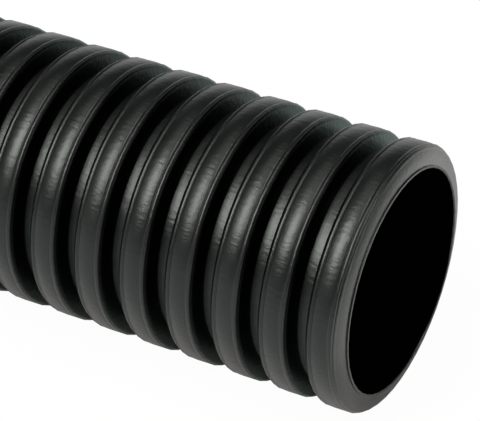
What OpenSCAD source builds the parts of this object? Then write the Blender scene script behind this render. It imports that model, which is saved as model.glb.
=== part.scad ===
// Double-wall corrugated conduit: one straight length, sawn square across at both ends.
// It lies along X on the ground, with the origin under its middle. Sizes are in millimetres.

/* [Pipe] */
// Number of corrugations from one end to the other
ring_count = 100; // [4:1:200]
// Distance from one corrugation to the next
pitch = 30; // [28:0.5:40]
// Diameter over the crests of the corrugations
outer_d = 160; // [110:1:250]
// Height of a corrugation, from the floor of a valley to the crest
corrugation_h = 11.5; // [9:0.5:14]
// Plain wall left between the sawn mouth and the foot of the first corrugation
mouth_neck = 0.1; // [0.1:0.1:3]

/* [Walls] */
// Wall in a valley, where the skin is welded to the liner
valley_wall = 1.5; // [1.3:0.1:2.5]
// Liner under the hollow of a corrugation
liner_wall = 1.1; // [0.8:0.1:1.3]
// Skin round the hollow of a corrugation
skin_wall = 1.6; // [0.8:0.1:2.4]

/* [Corrugation] */
// Width of the crest between its two witness lines
crest_w = 13.2; // [10:0.2:15]
// Rise of the crest's middle above its witness lines
crest_rise = 0.5; // [0.2:0.1:1.2]
// Radius of the shoulder between crest and flank
shoulder_r = 2.8; // [2:0.1:3.5]
// Lean of the flank away from square, in degrees
flank_lean = 12; // [6:0.5:16]
// Radius of the fillet between flank and valley
foot_r = 1; // [0.5:0.1:2]
// Width of the bead that the moulding slots leave along each edge of the crest
witness_w = 1.4; // [0.8:0.1:2]
// Height of that witness bead
witness_h = 0.25; // [0.1:0.05:0.4]

/* [Hidden] */
around_fn = 144;
length = ring_count * pitch;
outer_r = outer_d / 2;
valley_r = outer_r - corrugation_h;
bore_r = valley_r - valley_wall;
hollow_floor_r = bore_r + liner_wall;

// The wall is drawn as [distance from the axis, distance from the mouth]. Angles start at the
// outward direction and turn away from the mouth.
function arc(centre, r, from, to, steps) =
    [for (i = [0 : steps]) let (a = from + (to - from) * i / steps) centre + r * [cos(a), sin(a)]];
function mirrored(points) = [for (i = [len(points) - 1 : -1 : 0]) [points[i].x, -points[i].y]];
function along(points, distance) = [for (p = points) p + [0, distance]];
function crest_middle(i) = mouth_neck + foot_centre.y + i * pitch;

crest_edge_r = outer_r - crest_rise;
crest_arc_r = (pow(crest_w / 2, 2) + pow(crest_rise, 2)) / (2 * crest_rise);
shoulder_centre = [crest_edge_r - shoulder_r, crest_w / 2];
flank_angle = 90 - flank_lean;

// A flank's distance from the crest's middle where it reaches a radius, for a skin that lies
// inset under the outer surface
function flank_y(r, inset) =
    let (top = shoulder_centre + (shoulder_r - inset) * [cos(flank_angle), sin(flank_angle)])
    top.y + (top.x - r) * tan(flank_lean);

foot_centre = [valley_r + foot_r, flank_y(valley_r, 0) + foot_r / tan(45 + flank_lean / 2)];

// Half of the outer line of a corrugation: crest, witness bead, shoulder, flank and fillet
half_ring = concat(
    arc([outer_r - crest_arc_r, 0], crest_arc_r, 0, asin((crest_w - witness_w) / 2 / crest_arc_r), 2),
    [[crest_edge_r + witness_h, crest_w / 2]],
    arc(shoulder_centre, shoulder_r, asin(witness_w / 2 / shoulder_r), flank_angle, 4),
    arc(foot_centre, foot_r, 180 + flank_angle, 180, 3)
);
// The two halves share the crest's middle, so the far half starts one point later
ring_line = concat(mirrored(half_ring), [for (i = [1 : len(half_ring) - 1]) half_ring[i]]);

// Half of the hollow in a corrugation: shoulder and flank, down to the liner
half_hollow = concat(
    arc(shoulder_centre, shoulder_r - skin_wall, 0, flank_angle, 2),
    [[hollow_floor_r, flank_y(hollow_floor_r, skin_wall)]]
);
hollow_line = concat(mirrored(half_hollow), half_hollow);

module wall_section() {
    difference() {
        polygon(concat(
            [[bore_r, 0], [valley_r, 0]],
            [for (i = [0 : ring_count - 1]) each along(ring_line, crest_middle(i))],
            [[valley_r, length], [bore_r, length]]
        ));
        for (i = [0 : ring_count - 1])
            polygon(along(hollow_line, crest_middle(i)));
    }
}

// Turned about the axis and laid down with the mouth at the +X end
module conduit() {
    color("#232523")
        translate([length / 2, 0, outer_r])
            rotate([0, -90, 0])
                rotate_extrude($fn = around_fn)
                    wall_section();
}

conduit();
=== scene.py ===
import bpy
import math
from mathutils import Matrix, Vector


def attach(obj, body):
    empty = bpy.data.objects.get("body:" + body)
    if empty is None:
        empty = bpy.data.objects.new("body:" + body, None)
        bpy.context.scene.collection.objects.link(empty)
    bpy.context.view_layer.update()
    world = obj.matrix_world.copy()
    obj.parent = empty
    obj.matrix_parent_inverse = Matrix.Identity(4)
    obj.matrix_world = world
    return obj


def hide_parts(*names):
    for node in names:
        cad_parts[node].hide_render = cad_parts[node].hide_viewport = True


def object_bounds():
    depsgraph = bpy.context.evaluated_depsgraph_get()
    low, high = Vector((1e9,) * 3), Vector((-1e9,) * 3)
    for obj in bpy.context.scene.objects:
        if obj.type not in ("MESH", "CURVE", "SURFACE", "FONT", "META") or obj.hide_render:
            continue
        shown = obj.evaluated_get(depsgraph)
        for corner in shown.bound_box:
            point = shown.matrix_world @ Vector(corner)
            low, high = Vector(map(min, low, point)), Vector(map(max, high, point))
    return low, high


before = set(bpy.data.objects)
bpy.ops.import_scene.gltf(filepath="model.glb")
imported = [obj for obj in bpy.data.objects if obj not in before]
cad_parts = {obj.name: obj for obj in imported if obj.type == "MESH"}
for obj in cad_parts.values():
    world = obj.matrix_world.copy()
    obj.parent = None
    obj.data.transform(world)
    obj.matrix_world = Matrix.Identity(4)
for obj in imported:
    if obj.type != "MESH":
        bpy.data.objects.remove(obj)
cadLow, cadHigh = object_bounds()
mouthX = cadHigh.x
axisZ = (cadLow.z + cadHigh.z) / 2    # the pipe lies level, so its axis is at half its height
print("frame loaded, pipe", round(cadHigh.x - cadLow.x, 3), "m long")


def deselectAll():
    bpy.ops.object.select_all(action="DESELECT")


# one value in a material: plain arithmetic on it adds the Math nodes
class Value:
    def __init__(self, tree, socket):
        self.tree = tree
        self.socket = socket

    def add(self, kind, settings=None, sockets=None, output=0):
        node = self.tree.nodes.new(kind)
        for name, setting in (settings or {}).items():
            setattr(node, name, setting)
        for name, content in (sockets or {}).items():
            if isinstance(content, Value):
                self.tree.links.new(content.socket, node.inputs[name])
            else:
                node.inputs[name].default_value = content
        return Value(self.tree, node.outputs[output])

    def math(self, operation, first, second=0.0):
        return self.add("ShaderNodeMath", {"operation": operation}, {0: first, 1: second})

    def __add__(self, other): return self.math("ADD", self, other)
    def __radd__(self, other): return self.math("ADD", other, self)
    def __sub__(self, other): return self.math("SUBTRACT", self, other)
    def __rsub__(self, other): return self.math("SUBTRACT", other, self)
    def __mul__(self, other): return self.math("MULTIPLY", self, other)
    def __rmul__(self, other): return self.math("MULTIPLY", other, self)
    def __truediv__(self, other): return self.math("DIVIDE", self, other)
    def __rtruediv__(self, other): return self.math("DIVIDE", other, self)

    def size(self): return self.math("ABSOLUTE", self)
    def wrapped(self): return self.math("FRACT", self)
    def least(self, other): return self.math("MINIMUM", self, other)
    def most(self, other): return self.math("MAXIMUM", self, other)

    # one coordinate of a vector
    def along(self, axis):
        return self.add("ShaderNodeSeparateXYZ", sockets={0: self}, output=axis)

    # 0 below the first number, 1 above the second, with a soft step between them
    def step(self, start, end):
        return self.add("ShaderNodeMapRange", {"interpolation_type": "SMOOTHSTEP"},
                        {"Value": self, "From Min": start, "From Max": end})

    # a soft ridge, 1 at the middle and 0 at the half width on either side
    def ridge(self, middle, halfWidth):
        return 1 - (self - middle).size().step(0.0, halfWidth)

    def mixColours(self, first, second):
        return self.add("ShaderNodeMix", {"data_type": "RGBA"}, {0: self, 6: first, 7: second}, 2)


def newTree(owner):
    owner.use_nodes = True
    return owner.node_tree


# whether a ray comes from the camera, from gloss or through glass
def rayKinds(start):
    names = ("Is Camera Ray", "Is Glossy Ray", "Is Transmission Ray")
    return [start.add("ShaderNodeLightPath", output=name) for name in names]


# the corrugated pipe, measured in metres from the axis and from the middle of a crest
pipe = {
    "rings": 100,
    "bore": 0.067,            # radius of the smooth bore
    "valley": 0.0685,         # outer radius in a valley
    "mouthToCrest": 0.0121,   # from the sawn mouth to the first crest's middle
    "crestRise": 0.0005,      # the crest's middle stands this much above its edges
    "crestHalf": 0.0066,      # half the width between the two witness lines
    "crestShares": (0, 0.5, 0.9, 1),          # where the points of half a crest lie
    "beadHalf": 0.0005,
    "beadHeight": 0.00036,
    "beadFoot": 0.0007,       # the bead runs into the shoulder this far out
    "shoulder": 0.0028,       # radius between crest and flank
    "shoulderShares": (0, 0.36, 0.68, 1),
    "lean": math.radians(12),
    "flankTop": 0.0773,       # radius at which the flank starts
    "around": 48,             # faces round the pipe
    "rimChamfer": 0.0002,     # the sawn edges are broken this much
    "smoothBelow": math.radians(75),          # sharper corners than this stay sharp
}
pitch = (cadHigh.x - cadLow.x) / pipe["rings"]
outerRadius = (cadHigh.z - cadLow.z) / 2


# half of one corrugation, as (radius, distance from the crest's middle), out to its foot
def halfCorrugation():
    p = pipe
    half, rise, shoulder = p["crestHalf"], p["crestRise"], p["shoulder"]
    edge = outerRadius - rise
    line = []
    for share in p["crestShares"]:
        y = share * (half - p["beadHalf"])
        line.append((outerRadius - rise * (y / half) ** 2, y))
    line.append((edge + p["beadHeight"], half))
    start = math.asin(p["beadFoot"] / shoulder)
    end = math.pi / 2 - p["lean"]
    for share in p["shoulderShares"]:
        angle = start + (end - start) * share
        line.append((edge - shoulder + shoulder * math.cos(angle), half + shoulder * math.sin(angle)))
    topRadius, topY = line[-1]
    line.append((p["valley"], topY + (topRadius - p["valley"]) * math.tan(p["lean"])))
    return line


def makeConduit():
    p = pipe
    half = halfCorrugation()
    line = [(r, -y) for r, y in reversed(half)] + half[1:]
    line = [(p["valley"], -p["mouthToCrest"])] + line + [(p["valley"], pitch - p["mouthToCrest"])]
    crestX = mouthX - p["mouthToCrest"]
    points = [Vector((crestX - y, 0, axisZ + r)) for r, y in line]

    # a plane merged to one point is extruded along one corrugation's outline and spun round the axis
    deselectAll()
    bpy.ops.mesh.primitive_plane_add(size=0.001, location=points[0])
    conduit = bpy.context.object
    conduit.name = "conduitBody"
    bpy.ops.object.mode_set(mode="EDIT")
    bpy.ops.mesh.merge(type="CENTER")
    for here, there in zip(points, points[1:]):
        bpy.ops.mesh.extrude_region_move(TRANSFORM_OT_translate={"value": there - here})
    bpy.ops.mesh.select_all(action="SELECT")
    bpy.ops.mesh.spin(steps=p["around"], angle=math.tau, center=(0, 0, axisZ), axis=(1, 0, 0))
    bpy.ops.mesh.select_all(action="SELECT")
    bpy.ops.mesh.remove_doubles(threshold=1e-6)
    bpy.ops.object.mode_set(mode="OBJECT")
    bpy.ops.object.transform_apply(location=True, rotation=True, scale=True)

    array = conduit.modifiers.new("corrugations", "ARRAY")
    array.count = p["rings"]
    array.use_relative_offset = False
    array.use_constant_offset = True
    array.constant_offset_displace = (-pitch, 0, 0)
    array.use_merge_vertices = True
    array.merge_threshold = 1e-5
    bpy.ops.object.modifier_apply(modifier="corrugations")

    # both open ends are carried round the sawn rim into the bore, which is bridged between them
    bpy.ops.object.mode_set(mode="EDIT")
    bpy.ops.mesh.select_all(action="DESELECT")
    bpy.ops.mesh.select_non_manifold(extend=False)
    chamfer = p["rimChamfer"]
    radius = p["valley"]
    for target, inset in ((p["valley"] - chamfer, 0), (p["bore"] + chamfer, 0),
                          (p["bore"], chamfer), (p["bore"], chamfer * 4)):
        bpy.ops.mesh.extrude_region_move()
        share = target / radius
        bpy.ops.transform.resize(value=(1 - inset / mouthX, share, share), center_override=(0, 0, axisZ))
        radius = target
    bpy.ops.mesh.bridge_edge_loops()
    bpy.ops.mesh.select_all(action="SELECT")
    bpy.ops.mesh.normals_make_consistent(inside=False)
    bpy.ops.object.mode_set(mode="OBJECT")
    bpy.ops.object.shade_smooth_by_angle(angle=p["smoothBelow"])
    print("conduit", len(conduit.data.polygons), "faces")
    return conduit


# finish of the black polyethylene; the heights are in metres
plastic = {
    "colour": (0.0020, 0.0025, 0.0024, 1),
    "paintedShadeColour": (0.0004, 0.0004, 0.0004, 1),    # painted shade: near black in the bore and down the flanks between rings
    "dustColour": (0.012, 0.012, 0.011, 1),
    "sawnColour": (0.035, 0.036, 0.034, 1),
    "sheen": (0.88, 1, 0.95, 1),
    "refraction": 1.5,
    "roughness": 0.32,
    "roughnessSpread": 0.12,
    "linerGloss": 0.22,       # the bore is this much less rough
    "sawnRoughness": 0.3,     # and the sawn ends this much more
    "dust": 0.15,
    "dustPatches": (0.45, 0.75),              # the noise values at which dust starts and is full
    "patchScale": 22,
    "rippleScale": 480,
    "rippleStretch": (0.35, 1, 1),            # drawn out along the pipe
    "rippleHeight": 0.00022,
    "grainScale": 1400,
    "grainHeight": 0.000006,
    "lineScale": 60,
    "lineStretch": (45, 0.5, 0.5),            # drawn out round the pipe
    "lineHeight": 0.000008,
    "crestSag": 19.0,         # extra roundness of a crest in the gloss, per metre
    "crestEdge": 0.0012,      # it stops this far inside the witness lines
    "flankSag": 16.0,         # and of the end ring's flank
    "flankShade": 0.9,        # painted shade: between rings the flanks lose this share of their gloss
    "flankFrom": 0.0072,      # it starts here, off the crest's middle,
    "flankFull": 0.0082,      # and is full here
    "floorClear": (0.0003, 0.0012),           # the valley floor, up to this height, keeps its gloss
    "grooveOff": 0.0013,      # fine grooves at this distance either side of a witness line
    "grooveHalf": 0.0007,
    "grooveDepth": 0.00025,
    "softEdge": 0.0004,       # a change from one part of the surface to the next takes this far
}


def makePolyethylene():
    f = plastic
    material = bpy.data.materials.new("blackPolyethylene")
    tree = newTree(material)
    shader = tree.nodes["Principled BSDF"]
    start = Value(tree, None)
    place = start.add("ShaderNodeTexCoord", output="Object")
    x, y, z = place.along("X"), place.along("Y"), place.along("Z") - axisZ

    def noise(scale, detail, stretch=(1, 1, 1)):
        spot = start.add("ShaderNodeMapping", sockets={"Vector": place, "Scale": stretch})
        return start.add("ShaderNodeTexNoise", sockets={"Vector": spot, "Scale": scale, "Detail": detail})

    # distances from the middle of the nearest crest, along the pipe, and from the axis
    crestX = mouthX - pipe["mouthToCrest"]
    ringShare = ((crestX - x) / pitch + 0.5).wrapped() - 0.5
    fromCrest = (ringShare * pitch).size()
    fromAxis = start.math("SQRT", y * y + z * z)

    # where the surface is bore, sawn end, or the end ring beyond the middle of its crest
    soft = f["softEdge"]
    bore = 1 - fromAxis.step(pipe["bore"] + soft / 4, pipe["bore"] + soft)
    sawn = x.size().step(mouthX - soft, mouthX - soft / 4)
    endRing = x.size().step(crestX - soft, crestX + soft)

    # painted shade: flanks between rings see only each other, so a dark metallic value and a near-black
    # colour paint their shade and take their gloss away
    onFlank = fromAxis.least(pipe["flankTop"]) - pipe["valley"]
    flank = fromCrest.step(f["flankFrom"], f["flankFull"]) * onFlank.step(*f["floorClear"]) * (1 - endRing)
    paintedShade = flank * f["flankShade"]

    patches = noise(f["patchScale"], 4)
    dust = patches.step(*f["dustPatches"]) * f["dust"]
    colour = dust.mixColours(f["colour"], f["dustColour"])
    colour = sawn.mixColours(colour, f["sawnColour"])
    # painted shade: near-black colour in the bore and on the flanks between rings
    colour = bore.most(paintedShade).mixColours(colour, f["paintedShadeColour"])
    roughness = (f["roughness"] + patches * f["roughnessSpread"] + sawn * f["sawnRoughness"]
                 - bore * f["linerGloss"])

    ripple = noise(f["rippleScale"], 2, f["rippleStretch"])
    grain = noise(f["grainScale"], 1)
    lines = noise(f["lineScale"], 3, f["lineStretch"])
    inner = fromCrest.ridge(pipe["crestHalf"] - f["grooveOff"], f["grooveHalf"])
    outer = fromCrest.ridge(pipe["crestHalf"] + f["grooveOff"], f["grooveHalf"])
    onCrest = fromCrest.least(pipe["crestHalf"] - f["crestEdge"])
    flankTurn = onFlank * onFlank - (pipe["flankTop"] - pipe["valley"]) ** 2
    height = (ripple * f["rippleHeight"] + grain * f["grainHeight"] + lines * f["lineHeight"]
              - (inner + outer) * f["grooveDepth"] - onCrest * onCrest * f["crestSag"]
              - flankTurn * endRing * f["flankSag"]) * (1 - bore)
    bump = start.add("ShaderNodeBump", sockets={"Strength": 1.0, "Distance": 1.0, "Height": height})

    tree.links.new(colour.socket, shader.inputs["Base Color"])
    tree.links.new(roughness.socket, shader.inputs["Roughness"])
    # painted shade: the dark metallic value takes the gloss off the flanks between rings
    tree.links.new(paintedShade.socket, shader.inputs["Metallic"])
    tree.links.new(bump.socket, shader.inputs["Normal"])
    shader.inputs["IOR"].default_value = f["refraction"]
    shader.inputs["Specular Tint"].default_value = f["sheen"]
    print("material", material.name)
    return material


conduit = makeConduit()
conduit.data.materials.append(makePolyethylene())
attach(conduit, "root")
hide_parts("conduit")


# pale floor, seen by the camera as near white with the pipe's faint cast shadow, and by reflections as near
# white with a painted shadow along the pipe
ground = {
    "size": 40.0,
    "colour": (0.80, 0.80, 0.80, 1),
    "roughness": 0.9,
    "whiteShare": 0.97,
    "paintedShadowFrom": 0.04,        # painted shadow: in reflections the floor darkens out to here either side of the pipe
    "paintedShadowTo": 0.16,
}


def makeFloor():
    deselectAll()
    bpy.ops.mesh.primitive_plane_add(size=ground["size"], location=(0, 0, cadLow.z))
    floor = bpy.context.object
    floor.name = "floor"
    material = bpy.data.materials.new("paleFloor")
    tree = newTree(material)
    shader = tree.nodes["Principled BSDF"]
    shader.inputs["Base Color"].default_value = ground["colour"]
    shader.inputs["Roughness"].default_value = ground["roughness"]
    start = Value(tree, None)
    camera, glossy, transmission = rayKinds(start)
    across = start.add("ShaderNodeTexCoord", output="Object").along("Y").size()
    # painted shadow: in reflections the floor's white fades out in a band along and under the pipe
    clearOfPaintedShadow = across.step(ground["paintedShadowFrom"], ground["paintedShadowTo"])
    seen = (camera + (glossy + transmission) * clearOfPaintedShadow).least(1.0)
    white = start.add("ShaderNodeEmission", sockets={"Color": (1, 1, 1, 1), "Strength": 1.0})
    mixed = start.add("ShaderNodeMixShader",
                      sockets={0: seen * ground["whiteShare"], 1: Value(tree, shader.outputs[0]), 2: white})
    tree.links.new(mixed.socket, tree.nodes["Material Output"].inputs["Surface"])
    floor.data.materials.append(material)
    print("floor")
    return floor


makeFloor()

# white behind the pipe, dark overhead and in front where the gloss looks, and a plain fill light
sky = {
    "fill": 0.25,
    "overhead": 0.03,
    "white": (-0.1, 0.2),     # how far behind the pipe the white starts and is full
    "whiteTo": 0.10,          # height of the white backdrop's edge, as the sine of its elevation
    "darkFrom": 0.45,
}


def makeWorld():
    world = bpy.data.worlds.new("studio")
    bpy.context.scene.world = world
    tree = newTree(world)
    start = Value(tree, None)
    direction = start.add("ShaderNodeTexCoord", output="Generated")
    back, up = direction.along("Y"), direction.along("Z")
    camera, glossy, transmission = rayKinds(start)
    reflected = (glossy + transmission).least(1.0)
    lit = back.step(*sky["white"]) * (1 - up.step(sky["whiteTo"], sky["darkFrom"]))
    backdrop = sky["overhead"] + lit * (1 - sky["overhead"])
    strength = camera + reflected * backdrop + (1 - camera - reflected) * sky["fill"]
    background = tree.nodes["Background"]
    background.inputs["Color"].default_value = (1, 1, 1, 1)
    tree.links.new(strength.socket, background.inputs["Strength"])
    print("world")


makeWorld()

# softboxes: where each stands and points, from the mouth, its size and its power in watts
softboxes = {
    "key": {"from": (-1.02, -1.95, 2.45), "aim": (-0.1, 0, 0), "size": (1.3, 2.2), "power": 125.0},
    "top": {"from": (-0.45, 0.10, 2.60), "aim": (-0.1, 0, 0), "size": (1.8, 1.4), "power": 9.0},
    "right": {"from": (1.45, 0.00, 2.30), "aim": (-0.1, 0, 0), "size": (0.8, 1.8), "power": 36.0},
    # lies on the floor and lights the end ring from below
    "card": {"from": (0.62, 0.30, -0.078), "aim": (0.62, 0.30, 1), "size": (1.1, 1.2), "power": 5.0},
}
lampColour = (1, 0.93, 0.91)


def makeSoftbox(name, box):
    mouth = Vector((mouthX, 0, axisZ))
    aim, place = mouth + Vector(box["aim"]), mouth + Vector(box["from"])
    turn = (aim - place).to_track_quat("-Z", "Y").to_euler()
    deselectAll()
    bpy.ops.object.light_add(type="AREA", location=place, rotation=turn)
    lamp = bpy.context.object
    lamp.name = name
    lamp.visible_camera = False
    lamp.data.shape = "RECTANGLE"
    lamp.data.size, lamp.data.size_y = box["size"]
    lamp.data.energy = box["power"]
    lamp.data.color = lampColour


for name, box in softboxes.items():
    makeSoftbox(name, box)
print("lights")

# the camera is level and looks down on the mouth from the front right
view = {
    "azimuth": 29.50,
    "elevation": 34.10,
    "distance": 1.4009,
    "aim": (-0.0916, -0.0258, 0.0334),    # from the middle of the mouth
    "lens": 185.60,
}


def makeCamera():
    azimuth, elevation = math.radians(view["azimuth"]), math.radians(view["elevation"])
    ahead = Vector((-math.sin(azimuth) * math.cos(elevation), math.cos(azimuth) * math.cos(elevation),
                    -math.sin(elevation)))
    aim = Vector((mouthX, 0, axisZ)) + Vector(view["aim"])
    deselectAll()
    bpy.ops.object.camera_add(location=aim - ahead * view["distance"],
                              rotation=(math.pi / 2 - elevation, 0, azimuth))
    camera = bpy.context.object
    camera.name = "camera"
    camera.data.sensor_width = 36
    camera.data.lens = view["lens"]
    camera.data.clip_end = 100
    bpy.context.scene.camera = camera
    print("camera")


makeCamera()
bpy.context.scene.view_settings.view_transform = "Standard"
